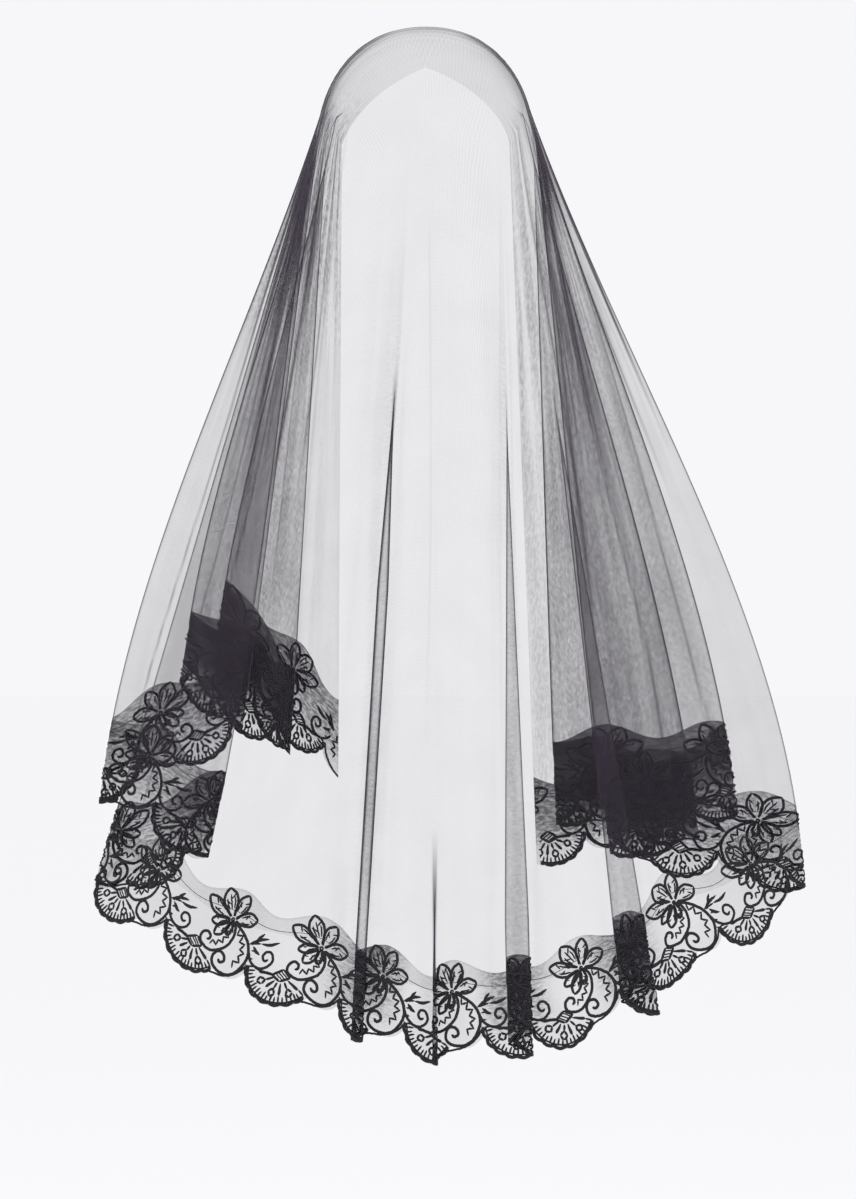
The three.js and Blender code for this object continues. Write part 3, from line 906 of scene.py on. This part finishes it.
def whole_hem(strokes):
    """One repeat's strokes laid along the whole hem, cut off at its two ends."""
    cords = []
    for repeat in range(-1, int(HEM_LENGTH / REPEAT) + 2):
        flower_along = FIRST_FLOWER + REPEAT * repeat
        for path, width in strokes:
            moved = path + np.array([flower_along, 0]) + scatter.normal(0, REPEAT_STRAY, 2)
            moved = moved + scatter.normal(0, STITCH_STRAY, path.shape)
            inside = (moved[:, 0] > HEM_MARGIN) & (moved[:, 0] < HEM_LENGTH - HEM_MARGIN)
            if not inside.any():
                continue
            first = inside.argmax()
            last = len(inside) - inside[::-1].argmax()
            if last - first >= SHORTEST_CORD and inside[first:last].all():
                cords.append((moved[first:last], np.broadcast_to(width, len(path))[first:last]))
    return cords


# Width of a cord at its ends as a share of its full width, and how much of it each step adds
END_SHARE = 0.4
END_STEP = 0.5

# Corners of a cord's section, in the order that closes its start and its end
START_CAPS = [(0, 5, 4, 3), (0, 3, 2, 1)]
END_CAPS = [(0, 1, 2, 3), (0, 3, 4, 5)]

# Distance between a cord's places, as its stitches are laid out, and the step that finds its own side
CORD_STEP = 1.3
SIDE_STEP = 0.3


def lay_cords(name, cords, material, height=0.45):
    """Raised cords on the lace, joined into one mesh."""
    counts = np.array([len(path) for path, _ in cords])
    path = np.concatenate([path for path, _ in cords])
    tangent = unit(np.concatenate([np.gradient(path, axis=0) for path, _ in cords]))
    width = np.concatenate([width for _, width in cords])
    from_end = np.concatenate([np.minimum(np.arange(n), np.arange(n)[::-1]) for n in counts])
    width = width * np.minimum(1, END_SHARE + from_end * END_STEP)
    length = np.concatenate([np.arange(n) * CORD_STEP for n in counts])
    here, outward = lace_frame(path[:, 0], path[:, 1])
    aside = path + np.stack([-tangent[:, 1], tangent[:, 0]], axis=1) * SIDE_STEP
    beside = unit(lace_points(aside[:, 0], aside[:, 1]) - here)
    across = CORD_SECTION[:, 0] * width[:, None]
    lift = LACE_OFFSET + CORD_SECTION[:, 1] * height
    ring = here[:, None, :] + beside[:, None, :] * across[..., None]
    ring = ring + outward[:, None, :] * lift[None, :, None]
    sides = len(CORD_SECTION)
    first = np.concatenate([[0], np.cumsum(counts)[:-1]])
    last = first + counts - 1
    runs = np.ones(len(path), bool)
    runs[last] = False
    base = np.nonzero(runs)[0] * sides
    faces = []
    for k in range(sides):
        n = (k + 1) % sides
        faces.append(np.stack([base + k, base + n, base + sides + n, base + sides + k], axis=1))
    for cap, orders in ((first, START_CAPS), (last, END_CAPS)):
        for order in orders:
            faces.append(np.stack([cap * sides + k for k in order], axis=1))
    piece = mesh_piece(name, ring.reshape(-1, 3), np.concatenate(faces), material)
    add_uv(piece, "cloth", np.stack(np.broadcast_arrays(length[:, None], across), axis=-1).reshape(-1, 2))
    return piece


# The seam: its mean height and wave, and the step and width of its stitches
SEAM_HEIGHT = 5
SEAM_WAVE = 3
SEAM_STEP = 1.6
SEAM_WIDTH = 0.55


def seam_stitch():
    along = np.arange(HEM_MARGIN, HEM_LENGTH - HEM_MARGIN, SEAM_STEP)
    height = SEAM_HEIGHT + SEAM_WAVE * np.cos(2 * math.pi * repeat_place(along) / REPEAT)
    return [(np.stack([along, height], axis=1), np.full(len(along), SEAM_WIDTH))]


# Materials: noise in features to a metre along each axis, the most that the net may cover, how uneven its
# cells are, the scale of the thread's stitches, and the share of a crown line's reach that is darkest
WEAVE_NOISE = (170, 420, 1)
DRIFT_NOISE = (24, 24, 1)
FOLD_NOISE = (55, 2400, 1)
STREAK_NOISE = (7, 150, 7)
BREAK_NOISE = (9, 420, 9)
FUZZ_NOISE = (900, 900, 1)
MOST_COVER = 0.9
CELL_RANDOMNESS = 0.5
STITCH_SCALE = 420
LINE_CORE = 0.6


def new_material(name):
    material = bpy.data.materials.new(name)
    material.use_nodes = True
    tree = material.node_tree
    return material, tree.nodes, tree.links, tree.nodes["Principled BSDF"]


def math_node(nodes, links, operation, first, second):
    node = nodes.new("ShaderNodeMath")
    node.operation = operation
    for socket, value in zip(node.inputs, (first, second)):
        if isinstance(value, (int, float)):
            socket.default_value = value
        else:
            links.new(value, socket)
    return node.outputs[0]


def map_range(nodes, links, value, from_min, from_max, to_min, to_max):
    node = nodes.new("ShaderNodeMapRange")
    node.interpolation_type = "SMOOTHSTEP"
    names = ("From Min", "From Max", "To Min", "To Max")
    for name, number in zip(names, (from_min, from_max, to_min, to_max)):
        node.inputs[name].default_value = number
    links.new(value, node.inputs["Value"])
    return node.outputs["Result"]


def noise(nodes, links, vector, scale, detail):
    """Noise with its own scale along each axis, in features to a metre."""
    mapping = nodes.new("ShaderNodeMapping")
    mapping.inputs["Scale"].default_value = scale
    links.new(vector, mapping.inputs["Vector"])
    node = nodes.new("ShaderNodeTexNoise")
    node.inputs["Scale"].default_value = 1
    node.inputs["Detail"].default_value = detail
    links.new(mapping.outputs["Vector"], node.inputs["Vector"])
    return node.outputs["Fac"]


def attribute(nodes, name):
    node = nodes.new("ShaderNodeAttribute")
    node.attribute_name = name
    return node.outputs["Fac"]


def uv_output(nodes, name):
    node = nodes.new("ShaderNodeUVMap")
    node.uv_map = name
    return node.outputs["UV"]


def crown_marks(nodes, links):
    """Cover of the soft streaks and of the dark broken lines that run over the crown from side to side."""
    place = nodes.new("ShaderNodeTexCoord").outputs["Object"]
    marks = map_range(nodes, links, noise(nodes, links, place, STREAK_NOISE, 3), 0.34, 0.56, 0, 0.85)
    axes = nodes.new("ShaderNodeSeparateXYZ")
    links.new(place, axes.inputs[0])
    breaks = map_range(nodes, links, noise(nodes, links, place, BREAK_NOISE, 2), 0.38, 0.60, 0.35, 1)
    for middle, reach, cover in CROWN_LINES:
        offset = math_node(nodes, links, "SUBTRACT", axes.outputs["Y"], middle * MM)
        away = math_node(nodes, links, "ABSOLUTE", offset, 0)
        line = map_range(nodes, links, away, LINE_CORE * reach * MM, reach * MM, cover, 0)
        marks = math_node(nodes, links, "ADD", marks, math_node(nodes, links, "MULTIPLY", line, breaks))
    return marks


def net_material(name, cell, cover, thread_cover, colour):
    """Sheer tulle: open cells with darker threads round them, denser in gathers, folds and crests."""
    material, nodes, links, shader = new_material(name)
    cloth = uv_output(nodes, "cloth")
    cells = nodes.new("ShaderNodeTexVoronoi")
    cells.feature = "DISTANCE_TO_EDGE"
    cells.voronoi_dimensions = "2D"
    cells.inputs["Scale"].default_value = 1 / (cell * MM)
    cells.inputs["Randomness"].default_value = CELL_RANDOMNESS
    links.new(cloth, cells.inputs["Vector"])
    threads = map_range(nodes, links, cells.outputs["Distance"], 0.03, 0.25, thread_cover, cover)
    gather = attribute(nodes, "gather")
    weave = map_range(nodes, links, noise(nodes, links, cloth, WEAVE_NOISE, 2), 0.34, 0.66, -1, 1)
    plainness = map_range(nodes, links, gather, 1.2, 1.5, 0.04, 0.26)
    weave = math_node(nodes, links, "ADD", math_node(nodes, links, "MULTIPLY", weave, plainness), 1.0)
    drift = map_range(nodes, links, noise(nodes, links, cloth, DRIFT_NOISE, 2), 0.3, 0.7, 0.92, 1.08)
    folds = noise(nodes, links, uv_output(nodes, "fall"), FOLD_NOISE, 3)
    folds = map_range(nodes, links, folds, 0.36, 0.66, -0.5, 0.85)
    folds = math_node(nodes, links, "MULTIPLY", folds, attribute(nodes, "folds"))
    folds = math_node(nodes, links, "ADD", folds, 1.0)
    alpha = threads
    for factor in (weave, drift, gather, folds):
        alpha = math_node(nodes, links, "MULTIPLY", alpha, factor)
    streaks = math_node(nodes, links, "MULTIPLY", crown_marks(nodes, links), attribute(nodes, "streaks"))
    alpha = math_node(nodes, links, "ADD", alpha, streaks)
    alpha = math_node(nodes, links, "ADD", alpha, attribute(nodes, "crest"))
    alpha = math_node(nodes, links, "MINIMUM", alpha, MOST_COVER)
    links.new(alpha, shader.inputs["Alpha"])
    shader.inputs["Base Color"].default_value = (*colour, 1)
    shader.inputs["Roughness"].default_value = 0.75
    shader.inputs["Specular IOR Level"].default_value = 0.2
    return material


def thread_material(name, colour, roughness):
    """Satin embroidery thread: fine stitches laid across each cord, dark with a soft gloss, with a painted
    highlight on each stitch's raised band and painted shade between.
    """
    material, nodes, links, shader = new_material(name)
    along_cord = uv_output(nodes, "cloth")
    stitch = nodes.new("ShaderNodeTexWave")
    stitch.wave_type = "BANDS"
    stitch.bands_direction = "DIAGONAL"
    stitch.inputs["Scale"].default_value = STITCH_SCALE
    stitch.inputs["Distortion"].default_value = 1.2
    stitch.inputs["Detail"].default_value = 1.5
    links.new(along_cord, stitch.inputs["Vector"])
    fuzz = noise(nodes, links, along_cord, FUZZ_NOISE, 3)
    relief = math_node(nodes, links, "ADD", stitch.outputs["Fac"], fuzz)
    bump = nodes.new("ShaderNodeBump")
    bump.inputs["Strength"].default_value = 0.7
    bump.inputs["Distance"].default_value = 0.0003
    links.new(relief, bump.inputs["Height"])
    links.new(bump.outputs["Normal"], shader.inputs["Normal"])
    # Painted highlight and shade: the thread's colour runs from half its own between stitches to 1.6 times
    # it on each raised band
    stitch_highlight_and_shade = nodes.new("ShaderNodeMix")
    stitch_highlight_and_shade.data_type = "RGBA"
    stitch_highlight_and_shade.inputs["A"].default_value = (*[part * 0.5 for part in colour], 1)
    stitch_highlight_and_shade.inputs["B"].default_value = (*[part * 1.6 for part in colour], 1)
    links.new(stitch.outputs["Fac"], stitch_highlight_and_shade.inputs["Factor"])
    links.new(stitch_highlight_and_shade.outputs["Result"], shader.inputs["Base Color"])
    shader.inputs["Roughness"].default_value = roughness
    shader.inputs["Specular IOR Level"].default_value = 0.3
    shader.inputs["Sheen Weight"].default_value = 0.05
    shader.inputs["Sheen Roughness"].default_value = 0.4
    return material


def plain_material(name, colour, roughness):
    material, _, _, shader = new_material(name)
    shader.inputs["Base Color"].default_value = (*colour, 1)
    shader.inputs["Roughness"].default_value = roughness
    shader.inputs["Specular IOR Level"].default_value = 0.0
    return material


# Colours, the width of a net's cell in mm, and the cover of open cells and of the threads round them
TULLE_COLOUR = (0.038, 0.029, 0.044)
LACE_NET_COLOUR = (0.015, 0.013, 0.018)
THREAD_COLOUR = (0.008, 0.007, 0.010)
CELL = 1.2
TULLE_COVER = (0.09, 0.19)
LACE_NET_COVER = (0.16, 0.30)
tulle_material = net_material("black_tulle", CELL, *TULLE_COVER, TULLE_COLOUR)
ground_material = net_material("lace_net", CELL, *LACE_NET_COVER, LACE_NET_COLOUR)
thread_black = thread_material("satin_thread", THREAD_COLOUR, 0.55)

tulle = make_net(tulle_material)
ground = make_lace_ground(ground_material)
embroidery = [
    lay_cords("lace_flowers", whole_hem(flower()), thread_black),
    lay_cords("lace_scrolls", whole_hem(scrolls()), thread_black, 0.55),
    lay_cords("lace_sprigs", whole_hem(sprig()), thread_black),
    lay_cords("lace_fans", whole_hem(fan()), thread_black),
    lay_cords("lace_edge_cord", whole_hem(edge_cord()), thread_black, 0.8),
    lay_cords("seam_stitch", seam_stitch(), thread_black, 0.25),
]

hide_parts("veil_net")
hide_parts("lace_edging")

# Studio, in metres: a plain pale floor, as bright far away as the air above it
FLOOR_Z = -1.25
FLOOR_HALF_WIDTH = 40.0
FLOOR_COLOUR = (0.985, 0.985, 0.99)


def make_floor():
    sides = [(-1, -1), (1, -1), (1, 1), (-1, 1)]
    corners = [(x * FLOOR_HALF_WIDTH, y * FLOOR_HALF_WIDTH, FLOOR_Z) for x, y in sides]
    mesh = bpy.data.meshes.new("floor")
    mesh.from_pydata(corners, [], [(0, 1, 2, 3)])
    floor = bpy.data.objects.new("studio_floor", mesh)
    bpy.context.scene.collection.objects.link(floor)
    mesh.materials.append(plain_material("pale_paper", FLOOR_COLOUR, 0.9))


# What both lamps point at, and the colour and strength of the air's own light
LIT_PLACE = (0, 0, -0.5)
AIR_COLOUR = (1.0, 1.0, 1.02, 1)
AIR_STRENGTH = 0.93


def area_light(name, place, size, power):
    data = bpy.data.lights.new(name, "AREA")
    data.size = size
    data.energy = power
    light = bpy.data.objects.new(name, data)
    bpy.context.scene.collection.objects.link(light)
    light.location = place
    aim = np.array(LIT_PLACE) - np.array(place)
    light.rotation_euler = (math.acos(-aim[2] / np.linalg.norm(aim)), 0, math.atan2(-aim[0], aim[1]))


make_floor()
area_light("key", (-1.6, -3.2, 1.6), size=2.2, power=26)
area_light("fill", (2.4, -2.6, 0.4), size=2.6, power=14)

world = bpy.data.worlds.new("studio_air")
world.use_nodes = True
air = world.node_tree.nodes["Background"]
air.inputs["Color"].default_value = AIR_COLOUR
air.inputs["Strength"].default_value = AIR_STRENGTH
bpy.context.scene.world = world
bpy.context.scene.view_settings.view_transform = "Standard"

# A line of sight may pass this many layers of net
bpy.context.scene.cycles.transparent_max_bounces = 64

# Camera, in metres: straight behind the veil, at the height of its middle
CAMERA_DISTANCE = 5.0
FRAME_HEIGHT = 1.0371
FRAME_CENTRE = (0.002, -0.4948)
camera_data = bpy.data.cameras.new("camera")
camera_data.sensor_fit = "VERTICAL"
camera_data.sensor_height = 36.0
camera_data.lens = camera_data.sensor_height * CAMERA_DISTANCE / FRAME_HEIGHT
camera = bpy.data.objects.new("camera", camera_data)
bpy.context.scene.collection.objects.link(camera)
camera.location = (FRAME_CENTRE[0], -CAMERA_DISTANCE, FRAME_CENTRE[1])
camera.rotation_euler = (math.pi / 2, 0, 0)
bpy.context.scene.camera = camera
